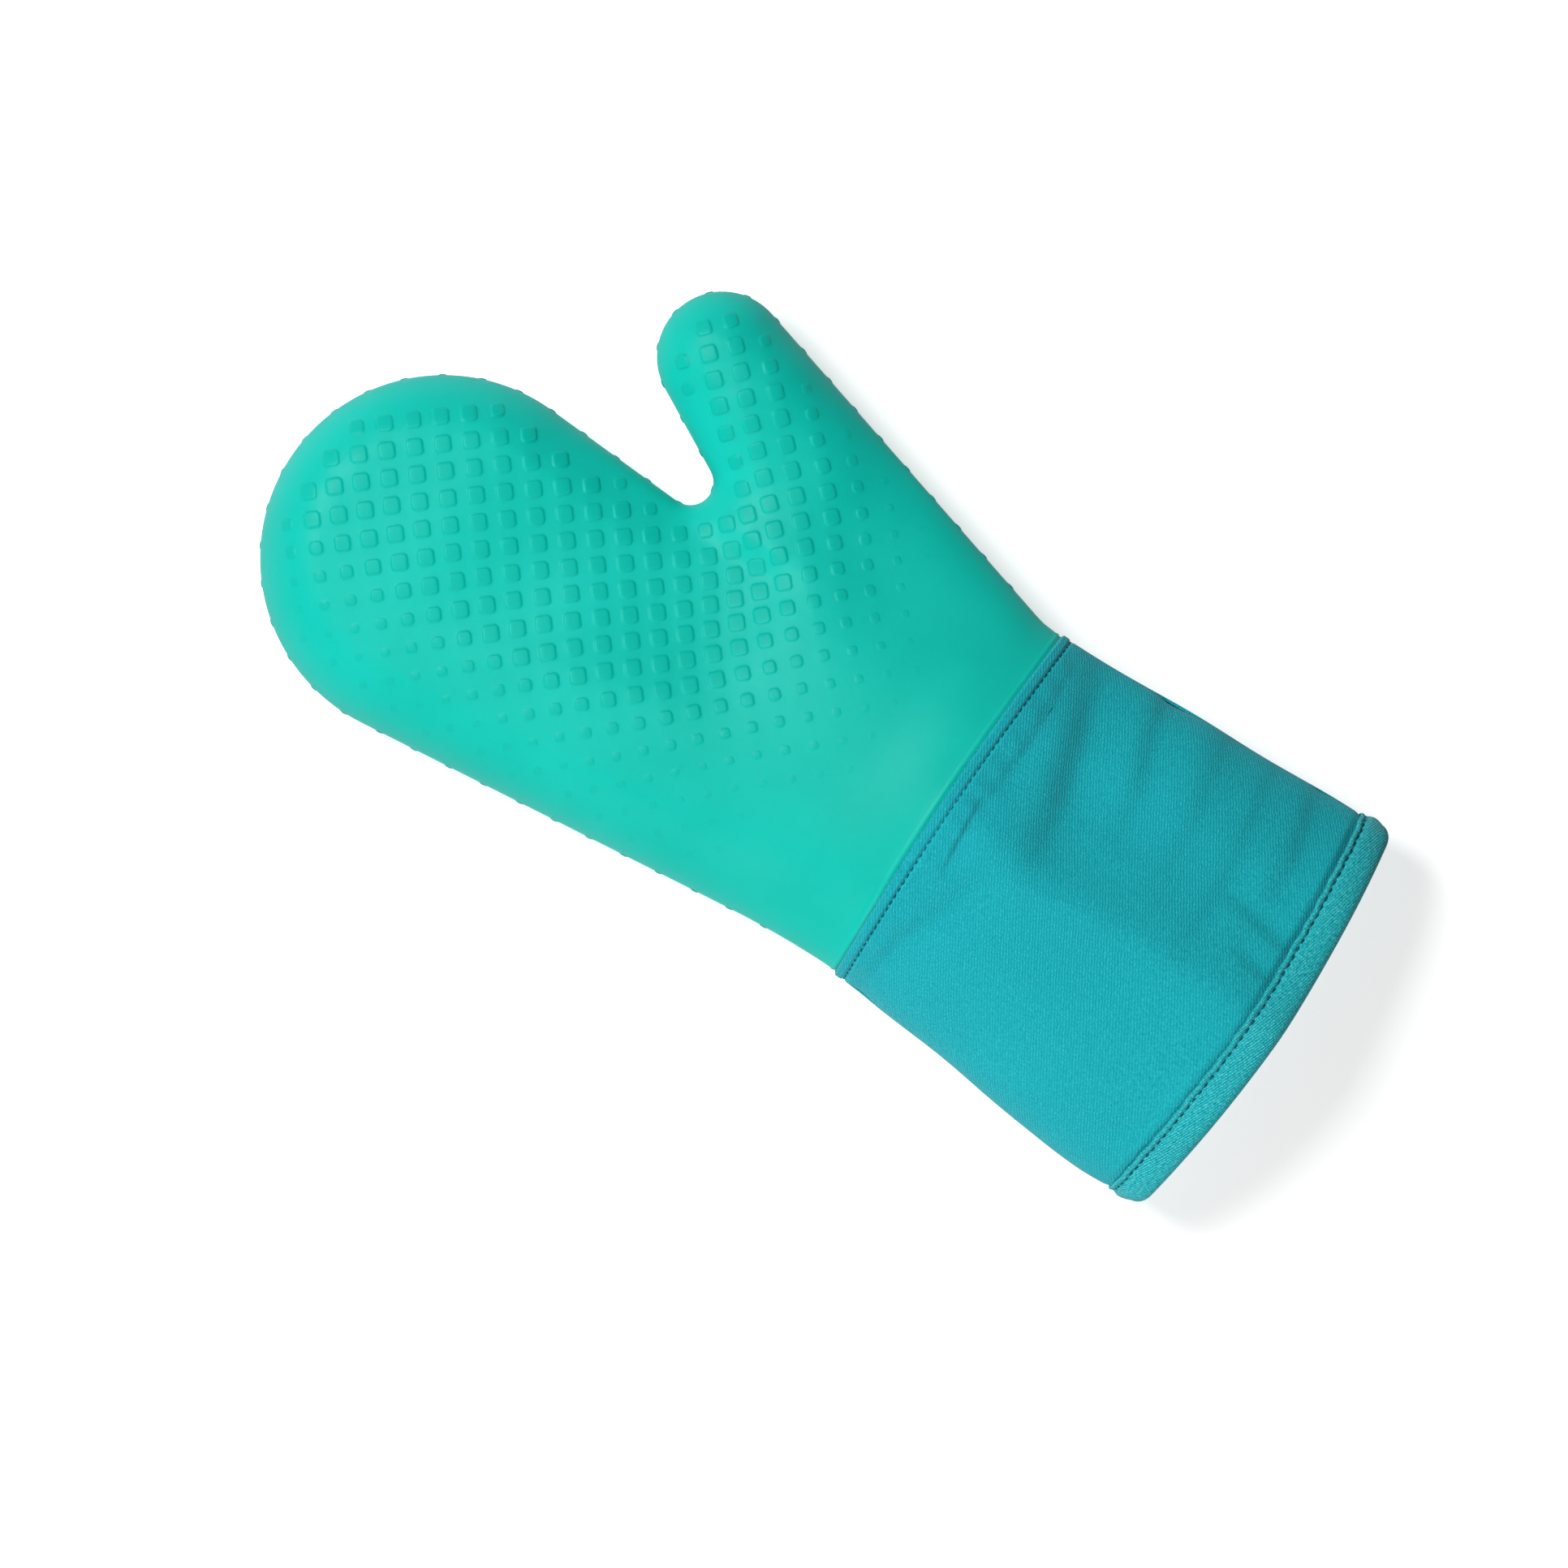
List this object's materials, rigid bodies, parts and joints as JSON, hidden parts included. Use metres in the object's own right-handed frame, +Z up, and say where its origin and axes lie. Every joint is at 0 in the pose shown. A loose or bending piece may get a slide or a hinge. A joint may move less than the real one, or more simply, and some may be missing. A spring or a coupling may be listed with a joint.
{
  "type": "oven mitt",
  "caption": "Moulded silicone oven mitt with a studded grip on both faces, a sewn twill cuff, a bound hem and a quilted, lined hollow for the hand.",
  "frame": {"origin": "the middle of the mitt's bounding box, on the surface that it lies on", "axes": "+X to the thumb's side, +Y from the hem to the fingertips, +Z up off the surface that it lies on"},
  "size_m": [0.169, 0.3386, 0.0543],
  "materials": {
    "turquoise_silicone": "satin",
    "teal_twill": "matte",
    "teal_tape": "matte",
    "white_batting": "matte",
    "grey_cotton": "matte"
  },
  "bodies": {
    "root": {"silicone_shell": "turquoise_silicone", "cuff_panel_upper": "teal_twill", "cuff_panel_lower": "teal_twill", "cuff_padding_upper": "white_batting", "cuff_padding_lower": "white_batting", "hand_padding_upper": "white_batting", "hand_padding_lower": "white_batting", "lining_upper": "grey_cotton", "lining_lower": "grey_cotton", "hem_binding": "teal_tape"}
  },
  "joints": []
}
